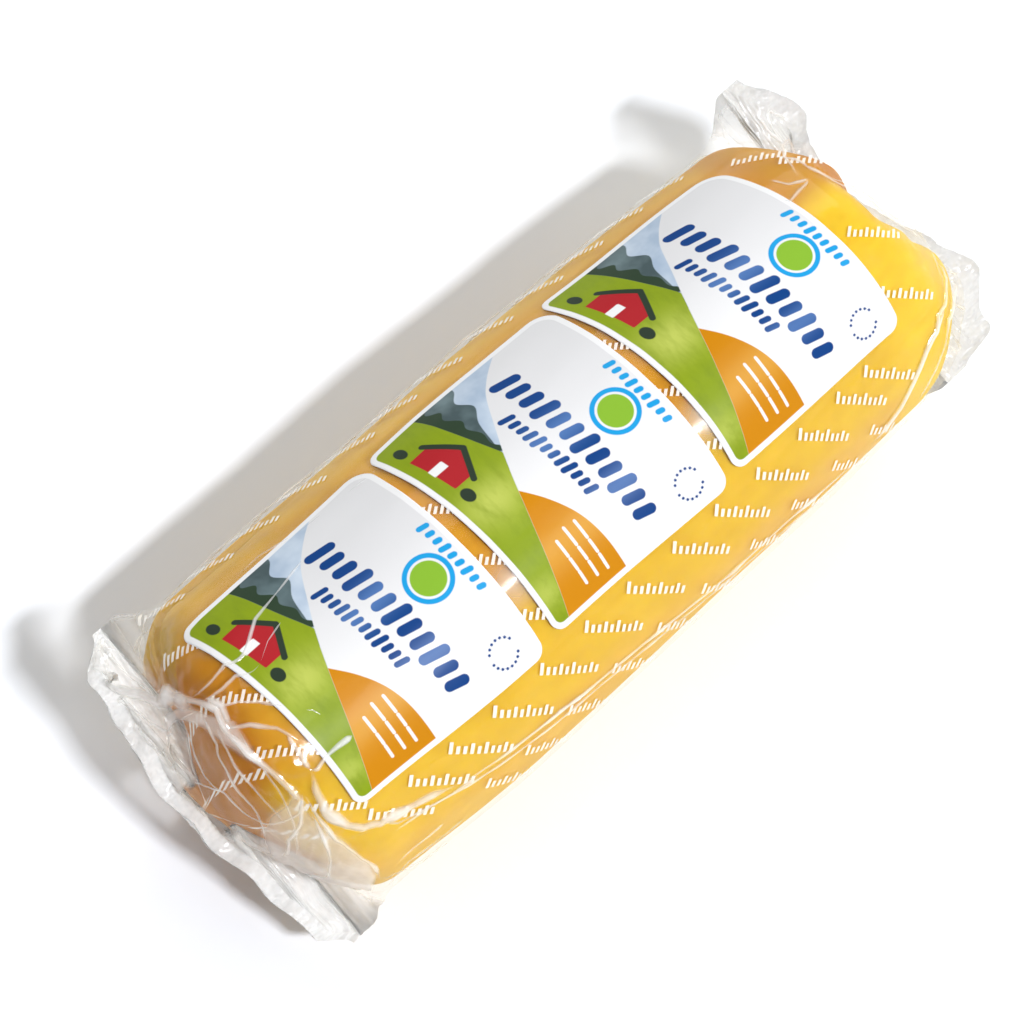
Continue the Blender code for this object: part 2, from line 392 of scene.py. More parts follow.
# Colours of the cheese over its golden one, in linear light; two of them follow a noise
GOLDEN = (0.70, 0.425, 0.004)
CHEESE_SHADES = (
    # the rind's amber, darkened with painted shade on the rear side, away from the key light
    ("rear", (0.60, 0.33, 0.012)),
    ("top", (0.62, 0.255, 0.004)),
    # painted reflected light: the cheese paler on the low front
    ("low", (0.72, 0.40, 0.025)),
    # painted light: brighter yellow where the far cap faces the lamps
    ("far", (0.80, 0.52, 0.014)),
    ("blotch", (0.82, 0.56, 0.05)),
    # smoked rind, darkened with painted shade on the near face and the far cap's rear
    ("smoke", (0.47, 0.17, 0.003)),
    ("fine", (0.42, 0.17, 0.004)),
)


def cheese_material():
    material, tree = new_material("smoked_cheese")
    blotch = noise_node(tree, 38.0, 4.0, 0.55, (0.45, 1.0, 1.0))
    fine = noise_node(tree, 240.0, 3.0, 0.6, (0.5, 1.0, 1.0))
    noises = {"blotch": ramp(tree, blotch, 0.38, 0.68, 0.0, 0.3),
              "fine": ramp(tree, fine, 0.35, 0.75, 0.0, 0.22)}
    colour = GOLDEN
    for name, shade in CHEESE_SHADES:
        share = noises[name] if name in noises else attribute(tree, name)
        colour = mix_colour(tree, share, colour, shade)
    return finished(material, node(
        tree, "ShaderNodeBsdfPrincipled", colour, Roughness=0.6,
        Normal=bump_node(tree, blotch, 0.25, 0.0015),
        **{"Specular IOR Level": 0.05, "Subsurface Weight": 0.35,
           "Subsurface Radius": (1.0, 0.6, 0.15), "Subsurface Scale": 0.004}))


# Colours of the print, in linear light
PRINT = (
    ("sky", (0.34, 0.43, 0.54)),
    ("hills", (0.055, 0.085, 0.090)),
    ("meadow", (0.22, 0.30, 0.006)),
    ("forest", (0.022, 0.045, 0.022)),
    ("orange", (0.53, 0.205, 0.001)),
    ("barn", (0.38, 0.012, 0.018)),
    ("shade", (0.020, 0.035, 0.020)),
    ("leaf", (0.22, 0.42, 0.03)),
    ("light_blue", (0.010, 0.30, 0.62)),
    ("deep_blue", (0.001, 0.042, 0.19)),
    ("paper", (0.76, 0.76, 0.755)),
)
EDGE_SOFT = 0.12


def label_material():
    material, tree = new_material("printed_label")
    cloud = noise_node(tree, 90.0, 3.0)
    blades = noise_node(tree, 260.0, 3.0, 0.6, (1.0, 0.35, 1.0))
    second_inks = {
        "sky": ((ramp(tree, cloud, 0.35, 0.65), (0.52, 0.60, 0.68)),),
        "hills": ((ramp(tree, cloud, 0.4, 0.7), (0.14, 0.20, 0.21)),),
        # painted highlight: the meadow lighter in soft patches
        "meadow": ((attribute(tree, "mist"), (0.52, 0.57, 0.12)),
                   (ramp(tree, blades, 0.45, 0.75, 0.0, 0.6), (0.17, 0.24, 0.008))),
        # painted highlight on the orange field
        "orange": ((attribute(tree, "gleam"), (0.66, 0.36, 0.05)),),
        # painted highlight: the deep blue strokes lighter in bands
        "deep_blue": ((attribute(tree, "fade"), (0.07, 0.16, 0.38)),),
    }
    # painted shade: the paper greyer toward the label's rear edge
    colour = mix_colour(tree, attribute(tree, "dim"), (0.74, 0.74, 0.735), (0.64, 0.64, 0.64))
    for name, ink in PRINT:
        inside = ramp(tree, attribute(tree, name), -EDGE_SOFT, EDGE_SOFT, 1.0, 0.0)
        for share, second in second_inks.get(name, ()):
            ink = mix_colour(tree, share, ink, second)
        colour = mix_colour(tree, inside, colour, ink)
    return finished(material, node(
        tree, "ShaderNodeBsdfPrincipled", colour, Roughness=0.36,
        Normal=bump_node(tree, noise_node(tree, 500.0, 2.0), 0.05, 0.0003),
        **{"Specular IOR Level": 0.10}))


def ink_material():
    material, tree = new_material("white_ink")
    cloud = noise_node(tree, 300.0, 3.0)
    colour = mix_colour(tree, ramp(tree, cloud, 0.4, 0.7), (0.95, 0.93, 0.88),
                        (0.90, 0.85, 0.74))
    ink = node(tree, "ShaderNodeBsdfPrincipled", colour, Roughness=0.25)
    clear = node(tree, "ShaderNodeBsdfTransparent")
    return finished(material, mix_shader(tree, ramp(tree, cloud, 0.3, 0.7, 0.62, 0.88),
                                         clear, ink))


def floor_material():
    material, tree = new_material("white_floor")
    colour = mix_colour(tree, noise_node(tree, 3.0, 2.0), (0.925, 0.95, 0.975),
                        (0.94, 0.96, 0.985))
    return finished(material, node(tree, "ShaderNodeBsdfDiffuse", colour, Roughness=0.5))


# --- relief

FAR_OFF = 1e9


def segment_gap(u, v, a, b):
    """Distance from points to the line between a and b."""
    du = b[0] - a[0]
    dv = b[1] - a[1]
    t = np.clip(((u - a[0]) * du + (v - a[1]) * dv) / (du * du + dv * dv), 0.0, 1.0)
    return np.hypot(u - a[0] - t * du, v - a[1] - t * dv)


def outline_gap(u, v, corners):
    """Signed distance to a polygon, negative inside."""
    gap = np.full(u.shape, FAR_OFF)
    inside = np.zeros(u.shape, bool)
    corners = list(corners)
    for a, b in zip(corners, corners[1:] + corners[:1]):
        gap = np.minimum(gap, segment_gap(u, v, a, b))
        if a[1] != b[1]:
            cross = a[0] + (v - a[1]) * (b[0] - a[0]) / (b[1] - a[1])
            inside ^= ((a[1] > v) != (b[1] > v)) & (u < cross)
    return np.where(inside, -gap, gap)


def triangle(value):
    return np.abs(2.0 * (value - np.floor(value)) - 1.0)


def folded(points, seed, count, shortest, longest):
    """Sum of straight-sided waves in random directions: sharp creases, flat facets."""
    random = np.random.RandomState(seed)
    total = np.zeros(points.shape[:-1])
    weight = 0.0
    for _ in range(count):
        direction = random.normal(size=3)
        direction /= np.linalg.norm(direction)
        length = shortest + (longest - shortest) * random.rand()
        bend = 0.35 * np.sin(points @ random.normal(size=3) * 90.0 + random.rand() * 6.0)
        total += length * triangle(points @ direction / length + random.rand() + bend)
        weight += length
    return total / weight


# The folds' whiteness is whitened film and partly a painted highlight.
# Pinched folds in the film: how high and wide against the measures below, how white, then for
# each point its station in mm and its turn in degrees of the model's mesh lines
FOLDS = (
    (1.1, 2, 0.95, -97, 91, -99, 94, -99.7, 98, -98.3, 106, -95, 113, -91.3, 120, -85, 123, -77,
     125.5, -70, 129),
    (0.6, 1, 0.9, -73, 127.5, -65, 130.5, -57, 132, -47, 133.5, -38, 135, -29, 137, -15, 138.8,
     -1, 140.5, 10, 141.7, 20, 143, 33, 144, 50, 145, 66, 146.5, 79, 147),
    (0.7, 1.3, 0.95, -38.5, 134.5, -35, 135.5, -29, 137.2),
    (0.8, 1.1, 0.8, 77, 147, 84, 144, 90, 141, 98, 132, 102.7, 126.5, 106.3, 122, 108, 116, 111.3,
     111, 113.7, 106.5, 118, 99.5, 119.3, 94),
    (0.7, 0.9, 0.7, 119.3, 94, 117, 90, 116, 85, 112.5, 72, 108, 50, 105, 38),
    (0.45, 0.8, 0.7, -100.3, 108, -97, 112, -87, 126, -76, 130, -67, 132.5, -58, 134.5, -47,
     136.5, -38, 138.5, -15, 142, 10, 145, 33, 147.5, 60, 150, 84, 148),
    (0.8, 1.1, 0.95, -96, 84, -96.7, 88, -97.3, 91),
    (0.8, 1, 0.95, -97.4, 91, -96, 92, -92.7, 92, -88.3, 92.5, -84, 93),
    (1.2, 1.5, 0.9, -110, 50, -107.3, 62, -106.3, 66, -105, 70, -103, 75, -104.3, 82, -103.7, 88,
     -102.5, 92, -101.3, 95),
    (0.55, 0.8, 0.7, -106, 69, -103.5, 67, -99, 62, -94.7, 58.5, -82, 47.5, -72, 44.5, -60, 40.5),
    (0.4, 0.7, 0.6, -105, 72, -98, 66, -92, 62, -84, 56, -76, 53),
    (0.35, 0.6, 0.5, -105, 75, -99, 73, -93, 75, -88, 80, -86, 86),
    (0.3, 0.6, 0.4, -31, 33, -42, 32, -57, 31, -68, 27, -76, 28),
    (0.35, 0.7, 0.5, -104.7, 79, -106, 85, -107, 88, -107.7, 90, -107, 92),
    (0.35, 0.7, 0.55, -105.3, 75, -108.7, 75, -110, 82, -111.7, 88, -112.3, 90),
    (0.4, 0.7, 0.6, -113.7, 88, -111.7, 90, -109.3, 91, -104, 93, -101.3, 92),
    (0.35, 0.9, 0.6, -88.7, 128, -81, 129, -72, 131, -63, 131.5),
    (0.4, 1, 0.6, -91, 143, -86, 142, -81, 142, -76, 141),
    (0.8, 1.6, 0.9, -103.3, 70, -102, 74, -103, 80),
    (0.4, 0.9, 0.6, -105, 81, -100.3, 80, -96.7, 82, -95, 86),
    (0.4, 0.8, 0.6, -105.7, 75, -106.7, 84, -109.7, 90, -111.7, 92),
    (0.35, 0.7, 0.5, -102.7, 81, -103.7, 88, -106, 93, -110, 98),
    (0.6, 0.9, 0.8, -101.3, 92, -105, 94, -108.7, 94, -112.3, 98),
    (0.6, 0.9, 0.75, -101.3, 92, -101.7, 98, -102, 104, -100, 115, -98, 129, -98, 140),
    (0.5, 0.8, 0.7, -101.7, 94, -103, 98, -105, 106, -108, 122, -112, 140),
    (0.4, 0.8, 0.6, -99, 154, -88, 148, -78, 150, -69, 148),
    (0.4, 0.9, 0.5, -98, 140, -92, 150, -84, 158, -72, 162),
    (0.6, 0.9, 0.7, 111.3, 111, 106.3, 122, 102.7, 127, 98, 132, 94, 137, 90, 141),
    (0.5, 0.8, 0.8, 129.7, 34, 129.3, 44, 132.7, 65),
    (0.7, 1, 0.8, 129, 28, 128.3, 38, 118, 42, 107.3, 46, 104, 54),
    (0.5, 0.9, 0.6, 109, 52, 112.7, 70, 119.3, 84, 121, 93, 117.3, 98, 113, 106),
    (0.4, 0.8, 0.6, 98, 48, 100, 54, 106, 58),
    (0.35, 0.7, 0.5, 106, 58, 101, 58, 96, 59, 94, 55),
    (0.6, 0.9, 0.7, 119, 102, 116.7, 108, 110.3, 118, 107.7, 129, 104, 138, 100, 144, 97, 148),
    (0.5, 0.8, 0.7, 119, 100, 124, 108, 130, 112),
    (0.5, 0.8, 0.7, 113, 112, 119, 122, 126, 128),
    (0.5, 0.8, 0.7, 108, 128, 114, 138, 122, 148),
    # on the sides that the photograph doesn't show
    (0.5, 0.8, 0.6, -94, 352, -72, 348, -46, 351, -15, 347, 22, 350, 56, 346, 90, 350),
    (0.6, 1, 0.6, -99, 330, -82, 334, -61, 332, -38, 336),
    (0.6, 1, 0.6, 26, 330, 52, 334, 78, 329, 100, 321),
    (0.4, 0.7, 0.5, -46, 338, -20, 341, 8, 337, 30, 341),
    (0.8, 1.1, 0.7, -113.5, 345, -107, 348, -99, 351, -88, 346),
    (0.7, 1, 0.7, -113.7, 322, -108, 327, -101, 333, -92, 331),
    (0.7, 1, 0.7, -113.7, 298, -108, 303, -102, 311, -94, 318),
    (0.7, 1, 0.7, -113.7, 270, -107, 275, -100, 282, -92, 290),
    (0.7, 1, 0.6, -113.5, 232, -108, 238, -102, 246, -95, 250),
    (0.8, 1.1, 0.7, 125, 342, 119, 345, 111, 349, 100, 346),
    (0.7, 1, 0.7, 125.2, 318, 119, 322, 112, 328, 102, 331),
    (0.7, 1, 0.7, 125.2, 292, 119, 297, 112, 306, 103, 312),
    (0.7, 1, 0.6, 125.2, 264, 119, 268, 112, 275, 104, 279),
    (0.7, 1, 0.6, 125, 228, 119, 233, 112, 240, 104, 246),
)
# Folds that run straight from point to point where the film stands clear of the pack
BRIDGES = (
    (1.6, 3.6, 0.95, -117, 24, -116.2, 34, -115.3, 44, -115.2, 50, -109.5, 47, -108, 56, -106.6,
     68, -105.7, 75),
    (0.9, 1.8, 0.85, -116, 20, -115.3, 30, -110, 43, -107.2, 54, -105.6, 66),
    (0.6, 1.3, 0.7, -115.3, 62, -114.4, 74, -113.5, 84),
    (0.6, 1.2, 0.6, -115.3, 54, -112.5, 62, -111.5, 74),
)
# Milky sheet of slack film at the near end's front corner, in the same measures
SAIL = ((-101.3, 92), (-101.7, 98), (-102, 104), (-100, 115), (-98, 129), (-98, 140),
        (-104.7, 180), (-114.7, 180), (-119.7, 156), (-112.3, 98), (-108.7, 94), (-105, 94))
# Whitened film along the ridge that runs in from the near end's rear corner, partly a painted
# highlight
WEDGE = ((-117.5, 20), (-112, 40), (-107.5, 54), (-104.5, 66), (-101.5, 72), (-102.5, 80),
         (-104.5, 86), (-106, 78), (-107.5, 70), (-110, 60), (-113.5, 48), (-118.5, 30))
# Painted highlights between the labels, as whiter film, in the same measures, and how white each
# turns
PAINTED_SHEENS = ((-31.0, 90.5, 0.50), (35.5, 92.0, 0.45))
SHEEN_MM = 4.5
SHEEN_DEG = 6.0
FOLD_ACROSS = 9
FOLD_WIDTH = 0.0009
FOLD_HEIGHT = 0.0009
FOLD_STEP = 0.0005
FOLD_TAPER = 7.0
FOLD_CLEAR = 0.0001
NORMAL_STEP = 0.0004
MOST_MILK = 0.95

# Relief of the film: crumpled caps, rippled sides, waves and creases of the flaps
FLAP_SHOWS = 0.004
CAP_CREASE = 0.0022
CAP_CRINKLE = 0.0006
SIDE_RIPPLE = 0.0006
FLAP_CREASE = 0.0055
FLAP_CRINKLE = 0.0012


def turned(station, turn):
    """The even parameter of the film's mesh for a turn of the model's mesh lines."""
    share = smooth(end_share(station) * GATHER_RATE)
    c = np.cos(turn)
    across = np.copysign(np.abs(c) ** (1.0 - GATHER_POWER * share), c)
    t = np.arccos(np.clip(across, -1.0, 1.0))
    return np.where(np.sin(turn) < 0.0, math.tau - t, t)


def fold_line(track):
    """Stations and mesh places along a fold, its place from 0 to 1, and its straight line."""
    rows = np.reshape(np.array(track, float), (-1, 2))
    station = rows[:, 0] / 1000.0
    turn = np.radians(rows[:, 1])
    place = film_point(station, turned(station, turn))
    steps = np.maximum(np.linalg.norm(np.diff(place, axis=0), axis=1) / FOLD_STEP, 1.0)
    at = np.concatenate([[0.0], np.cumsum(steps)])
    fine = np.arange(0.0, at[-1], 1.0)
    s = np.interp(fine, at, station)
    t = np.interp(fine, at, turn)
    straight = np.stack([np.interp(fine, at, place[:, k]) for k in range(3)], axis=-1)
    return s, turned(s, t), fine / at[-1], straight


def waist(angle):
    """How far film and cheese draw in at the widest line, which keeps the folds in the box."""
    return WAIST_INSET * rise(np.abs(np.cos(angle)), 0.80, 0.15)


def creases(points):
    """Large and small creases at each point, 0 to 1."""
    return folded(points, 5, 4, 0.008, 0.022), folded(points, 11, 5, 0.0025, 0.006)


def flap_lift(in_flap, share, crumple, small):
    """How far a flap's sheet moves across its own plane."""
    wave = FLAP_CREASE * (crumple - 0.5) + FLAP_CRINKLE * (small - 0.5)
    return in_flap * wave * smooth(share / 0.5)


def film_relief(x, angle, points):
    """Relief of the film off the pack's surface and what drives its look."""
    share = np.broadcast_to(end_share(x), angle.shape)
    in_flap = rise(flap_radius(x, angle), body_radius(x, angle), FLAP_SHOWS)
    in_cap = rise(share, 0.12, 0.3) * (1.0 - in_flap)
    crumple, small = creases(points)
    ripple = folded(points * np.array([0.35, 1.0, 1.0]), 23, 6, 0.010, 0.020)
    outward = in_cap * (CAP_CREASE * crumple + CAP_CRINKLE * small)
    outward = outward + SIDE_RIPPLE * ripple * (1.0 - in_cap) * (1.0 - in_flap)
    outward = outward - waist(angle) * (1.0 - in_flap)
    return outward, share, in_flap, in_cap, crumple, small


def over_film(x, angle, height):
    """Points at a height over the film's relief."""
    radius = surface_radius(x, angle)
    base = stack(x, radius * np.cos(angle), radius * np.sin(angle) + AXIS_HEIGHT)
    radius = radius + film_relief(x, angle, base)[0] + height
    return stack(x, radius * np.cos(angle), radius * np.sin(angle) + AXIS_HEIGHT)


# --- film

ROW_CROWDING = 1.15
CRIMP_RIBS = 22.0
NEAR_RIB = 0.0007
FAR_RIB = 0.0004
RIDGE_HALF_WIDTH = 0.03
SEAL_MILK = 0.84
RIDGE_MILK = 0.09
LOW_FRONT_MILK = 0.03
FAR_CAP_MILK = 0.1
WEDGE_MILK_AND_SHEEN = 0.55
SAIL_MILK = 0.42
SAIL_LOW_MILK = 0.33
PATCH_SOFT = 1.5
LIFT_WAY = np.array([0.0, -math.sin(FLAP_TILT), math.cos(FLAP_TILT)])


def film_stations():
    """Stations from edge to edge, and the rows where the middle piece starts and ends."""
    near_edge = NEAR_FULL_X + (NEAR_EDGE_X - NEAR_FULL_X) * NEAR_EDGE_SHARE
    far_edge = FAR_FULL_X + (FAR_EDGE_X - FAR_FULL_X) * FAR_EDGE_SHARE
    near_share = np.linspace(0.0, 1.0, NEAR_STEPS) ** ROW_CROWDING
    far_share = np.linspace(1.0, 0.0, FAR_STEPS) ** ROW_CROWDING
    near = near_edge + (NEAR_SPLIT_X - near_edge) * near_share
    far = far_edge + (FAR_SPLIT_X - far_edge) * far_share
    body = np.linspace(NEAR_SPLIT_X, FAR_SPLIT_X, BODY_STEPS)
    last = NEAR_STEPS + BODY_STEPS - 2
    return np.concatenate([near[:-1], body, far[1:]]), NEAR_STEPS - 1, last


def widened(rows, jumps):
    """Rows with others mixed in where the stations jump from a flap to the log's face."""
    mix = np.linspace(0.0, 1.0, ROOT_ROWS + 2)[1:-1].reshape((-1,) + (1,) * (rows.ndim - 1))
    parts = []
    done = 0
    for k in jumps:
        parts += [rows[done:k + 1], rows[k] * (1.0 - mix) + rows[k + 1] * mix]
        done = k + 1
    return np.concatenate(parts + [rows[done:]])


def make_film(material):
    stations, first, last = film_stations()
    t = math.tau * np.arange(AROUND) / AROUND
    x = stations[:, None]
    base = film_point(x, t[None, :])
    normals = grid_normals(base)
    angle, across = sample(x, t[None, :])
    outward, share, in_flap, in_cap, _, _ = film_relief(x, angle, base)
    over = flap_radius(x, angle) - body_radius(x, angle)
    jump = np.linalg.norm(np.diff(base, axis=0), axis=2).max(axis=1)
    jumps = (int(np.argmax(jump[:first])), last + int(np.argmax(jump[last:])))
    x, base, normals, angle, across, outward, share, in_flap, in_cap, over = (
        widened(rows, jumps) for rows in
        (x, base, normals, angle, across, outward, share, in_flap, in_cap, over))
    first += ROOT_ROWS
    last += ROOT_ROWS
    crumple, small = creases(base)
    points = base + normals * outward[..., None]
    ribs = triangle(across * CRIMP_RIBS + 0.8 * np.sin(7.0 * across) + 0.8 * small) - 0.5
    rib_depth = np.where(x < 0.0, NEAR_RIB, FAR_RIB) * rise(share, 0.55, 0.25)
    lift = flap_lift(in_flap, share, crumple, small) + in_flap * rib_depth * ribs
    points = points + lift[..., None] * LIFT_WAY
    points[..., 2] = np.maximum(points[..., 2], 0.0)

    ridges = np.clip(1.0 - np.abs(crumple - 0.5) / RIDGE_HALF_WIDTH, 0.0, 1.0)
    seal_near = 0.80 - 0.14 * rise(across, 0.2, 0.5)
    seal_near = seal_near - 0.50 * fall(across, -0.28, 0.35)
    seal_near = seal_near + 0.10 * (crumple - 0.5) + 0.06 * (small - 0.5)
    seal_far = 0.55 + 0.15 * rise(across, 0.1, 0.4) - 0.15 * fall(across, -0.2, 0.4)
    seal = rise(share, np.where(x < 0.0, seal_near, seal_far), 0.09)
    seal = seal * rise(over, -0.003, 0.005)
    loose = 0.05 + 0.20 * rise(across, 0.35, 0.3) + 0.10 * (x > 0.0)
    loose = loose + 0.35 * fall(across, -0.40, 0.2) * (x < 0.0)
    milk_and_sheen = 0.010 + 0.008 * in_cap * crumple + loose * in_flap * (1.0 - seal)
    milk_and_sheen = milk_and_sheen + FAR_CAP_MILK * in_cap * (x > 0.0) * rise(angle, 1.7, 0.4)
    milk_and_sheen = milk_and_sheen + seal * (SEAL_MILK + 0.25 * (small - 0.5) + 0.14 * ribs)
    low_front = rise(angle, 2.85, 0.35) * fall(angle, 3.9, 0.3)
    milk_and_sheen += LOW_FRONT_MILK * low_front * (1.0 - in_flap)
    milk_and_sheen += RIDGE_MILK * in_cap * ridges
    station_mm = np.broadcast_to(x * 1000.0, angle.shape)
    turn_deg = np.degrees(np.broadcast_to(t[None, :], angle.shape))
    sail = smooth(-outline_gap(station_mm, turn_deg, SAIL) / PATCH_SOFT)
    wedge = smooth(-outline_gap(station_mm, turn_deg, WEDGE) / PATCH_SOFT)
    # whitened film and painted highlight along the near end's ridge
    milk_and_sheen += WEDGE_MILK_AND_SHEEN * wedge * (1.0 - seal)
    sail_milk = SAIL_MILK + SAIL_LOW_MILK * rise(turn_deg, 98.0, 30.0)
    milk_and_sheen += sail_milk * sail * (1.0 - seal)
    # painted highlights: soft white patches on the film between the labels
    for station, turn, strength in PAINTED_SHEENS:
        milk_and_sheen += strength * hump(station_mm, station, SHEEN_MM) * hump(turn_deg, turn, SHEEN_DEG)
    milk_and_sheen = np.clip(milk_and_sheen, 0.0, MOST_MILK)
    grey = rise(x, 0.095, 0.02) * (0.55 + 0.45 * small)
    final_normals = grid_normals(points)
    pieces = []
    for name, a, b in (("film_near", 0, first), ("film_body", first, last),
                       ("film_far", last, len(points) - 1)):
        rows = slice(a, b + 1)
        faces = grid_faces(b - a + 1, AROUND)
        if name == "film_near":
            faces += end_faces(0, AROUND, False)
        if name == "film_far":
            faces += end_faces((b - a) * AROUND, AROUND, True)
        pieces.append(make_mesh(name, points[rows], faces, material,
                                {"milk_and_sheen": milk_and_sheen[rows], "grey": grey[rows]}, final_normals[rows]))
    return pieces


def fold_ribbon(high, wide, milk_and_sheen, track, bridging):
    """Points and whiteness of one fold's ribbon, row by row across it; the whiteness is whitened
    film and partly a painted highlight.
    """
    x, t, place, centre = fold_line(track)
    if not bridging:
        centre = film_point(x, t)
    forward = np.gradient(centre, axis=0)
    forward /= np.linalg.norm(forward, axis=1, keepdims=True)
    around = film_point(x, t + NORMAL_STEP) - film_point(x, t - NORMAL_STEP)
    lengthwise = film_point(x + NORMAL_STEP, t) - film_point(x - NORMAL_STEP, t)
    outward = np.cross(around, lengthwise)
    outward /= np.linalg.norm(outward, axis=1, keepdims=True)
    side = np.cross(outward, forward)
    angle, _ = sample(x, t)
    relief, share, in_flap, _, crumple, small = film_relief(x, angle, centre)
    centre = centre + flap_lift(in_flap, share, crumple, small)[:, None] * LIFT_WAY
    taper = smooth(np.minimum(place, 1.0 - place) * FOLD_TAPER)
    wander = 0.45 + 0.9 * triangle(x * 31.0 + 1.7 * t) * triangle(x * 67.0 + 4.0 * t + 0.3)
    width = FOLD_WIDTH * wide * (0.25 + 0.75 * taper) * (0.4 + 0.6 * wander)
    points, shades = [], []
    for off in np.linspace(-1.0, 1.0, FOLD_ACROSS):
        crest = (1.0 - abs(off)) ** 0.8
        height = relief + FOLD_CLEAR + FOLD_HEIGHT * high * crest * taper * wander
        points.append(centre + side * (off * width)[:, None] + outward * height[:, None])
        # whitened film, partly a painted highlight
        shade = milk_and_sheen * taper * (1.0 - abs(off) ** 1.5) * (0.35 + 0.85 * wander)
        shades.append(np.minimum(shade, MOST_MILK))
    return points, shades


def make_folds(material):
    """Ribbons of doubled film that stand up from the film along each fold."""
    all_points, all_faces, all_milk_and_sheen = [], [], []
    start = 0
    for table, bridging in ((FOLDS, False), (BRIDGES, True)):
        for high, wide, milk_and_sheen, *track in table:
            points, shades = fold_ribbon(high, wide, milk_and_sheen, track, bridging)
            all_points += points
            all_milk_and_sheen += shades
            all_faces += grid_faces(FOLD_ACROSS, len(points[0]), False, start)
            start += FOLD_ACROSS * len(points[0])
    points = np.concatenate(all_points)
    points[:, 2] = np.maximum(points[:, 2], 0.0)
    return make_mesh("film_folds", points, all_faces, material,
                     {"milk_and_sheen": np.concatenate(all_milk_and_sheen)})


# --- cheese

CHEESE_NEAR_X = -0.1122
CHEESE_FAR_X = 0.1262
CHEESE_AROUND = 160
CHEESE_STEPS = 170
CHEESE_GAP = 0.0005
CHEESE_LUMPS = 0.0006
LOW_FRONT_GAP = 0.0004
NEAR_REAR_GAP = 0.0018
CHEESE_FLOOR_GAP = 0.0006
CHEESE_LEAST_RADIUS = 0.0002
CHEESE_LEAN_RADIUS = 0.03
LUMP_RADIUS = 0.04


def make_cheese(material):
    side = 1.0 - np.cos(np.linspace(0.0, math.pi, CHEESE_STEPS))
    x = (CHEESE_NEAR_X + (CHEESE_FAR_X - CHEESE_NEAR_X) * side / 2.0)[1:-1, None]
    t = (math.tau * np.arange(CHEESE_AROUND) / CHEESE_AROUND)[None, :]
    scale = cap_scale(x, CHEESE_NEAR_X, CHEESE_FAR_X)
    angle = np.broadcast_to(FLAP_TILT + t, (len(x), CHEESE_AROUND))
    radius = body_radius(x, angle, scale)
    round_log = stack(x, LUMP_RADIUS * np.cos(angle), LUMP_RADIUS * np.sin(angle))
    lumps = folded(round_log * np.array([0.5, 1.0, 1.0]), 31, 5, 0.014, 0.030)
    low_front = rise(angle, 2.75, 0.35) * fall(angle, 4.0, 0.3)
    near_rear = fall(np.degrees(angle), 65.0, 25.0) * fall(x, -0.03, 0.04)
    gap = CHEESE_GAP + CHEESE_LUMPS * lumps + LOW_FRONT_GAP * low_front
    gap = gap + NEAR_REAR_GAP * near_rear + waist(angle)
    radius = np.maximum(radius - gap, CHEESE_LEAST_RADIUS)
    across = np.cos(angle - FLAP_TILT)
    place = x + (leaned(x, across) - x) * smooth(radius / CHEESE_LEAN_RADIUS)
    points = stack(place, radius * np.cos(angle),
                   np.maximum(radius * np.sin(angle) + AXIS_HEIGHT, CHEESE_FLOOR_GAP))
    rows = len(x)
    tips = np.array([[CHEESE_NEAR_X, 0.0, AXIS_HEIGHT], [CHEESE_FAR_X, 0.0, AXIS_HEIGHT]])
    flat = np.concatenate([points.reshape(-1, 3), tips])
    faces = grid_faces(rows, CHEESE_AROUND)
    near_tip = len(flat) - 2
    far_tip = len(flat) - 1
    last = (rows - 1) * CHEESE_AROUND
    for j in range(CHEESE_AROUND):
        k = (j + 1) % CHEESE_AROUND
        faces += [(near_tip, k, j), (far_tip, last + j, last + k)]
    deg = np.degrees(angle)
    top = rise(deg, 30.0, 35.0) * fall(deg, 132.0, 22.0) * fall(place, 0.104, 0.012)
    # painted light: the far cap's top and front brighter, where they face the lamps
    far = rise(place, 0.088, 0.012) * rise(deg, 84.0, 10.0)
    # painted light: the low front and underside paler, for the light reflected there
    low = rise(deg, 158.0, 16.0) * fall(deg, 230.0, 20.0)
    # painted shade: the rear side, away from the key light, darker amber
    rear = fall(deg, 62.0, 40.0) + rise(deg, 300.0, 30.0)
    # the smoke-brown near face, and the far cap's rear: smoked rind, darkened further with
    # painted shade
    start = -0.097 - 0.007 * rise(deg, 95.0, 30.0) * fall(deg, 190.0, 30.0)
    smoke = fall(place, start, 0.006)
    smoke = smoke + 0.65 * rise(place, 0.089, 0.010) * fall(deg, 94.0, 10.0)
    smoke = smoke + 0.4 * rise(place, 0.108, 0.008) * fall(deg, 125.0, 25.0)
    values = {}
    for key, value in (("top", top), ("rear", rear), ("smoke", smoke), ("low", low),
                       ("far", far)):
        value = np.clip(value, 0.0, 1.0).ravel()
        values[key] = np.concatenate([value, [value[0], value[-1]]])
    return make_mesh("cheese", flat, faces, material, values)


# --- labels

LABEL_PITCH_MM = 0.4
LABEL_LENGTH_MM = 61.0
CORNER_STEPS = 12
PRINT_ARC = 72.0
PRINT_LOW = -29.5
PRINT_HIGH = 31.0
BORDER_MM = 1.6
OUTSIDE = 5.0
LABEL_HEIGHT = 0.00015
PAPER_THICKNESS = 0.00012


def curve(points):
    """Points of a smooth curve through the given ones."""
    rows = np.array(points, float)
    rows = np.vstack([2 * rows[0] - rows[1], rows, 2 * rows[-1] - rows[-2]])
    made = []
    for i in range(1, len(rows) - 2):
        for step in range(CURVE_STEPS):
            t = step / CURVE_STEPS
            a, b, c, d = rows[i - 1:i + 3]
            made.append(tuple(0.5 * (2 * b + (c - a) * t + (2 * a - 5 * b + 4 * c - d) * t * t
                                     + (3 * b - a - 3 * c + d) * t ** 3)))
    made.append(tuple(rows[-2]))
    return made


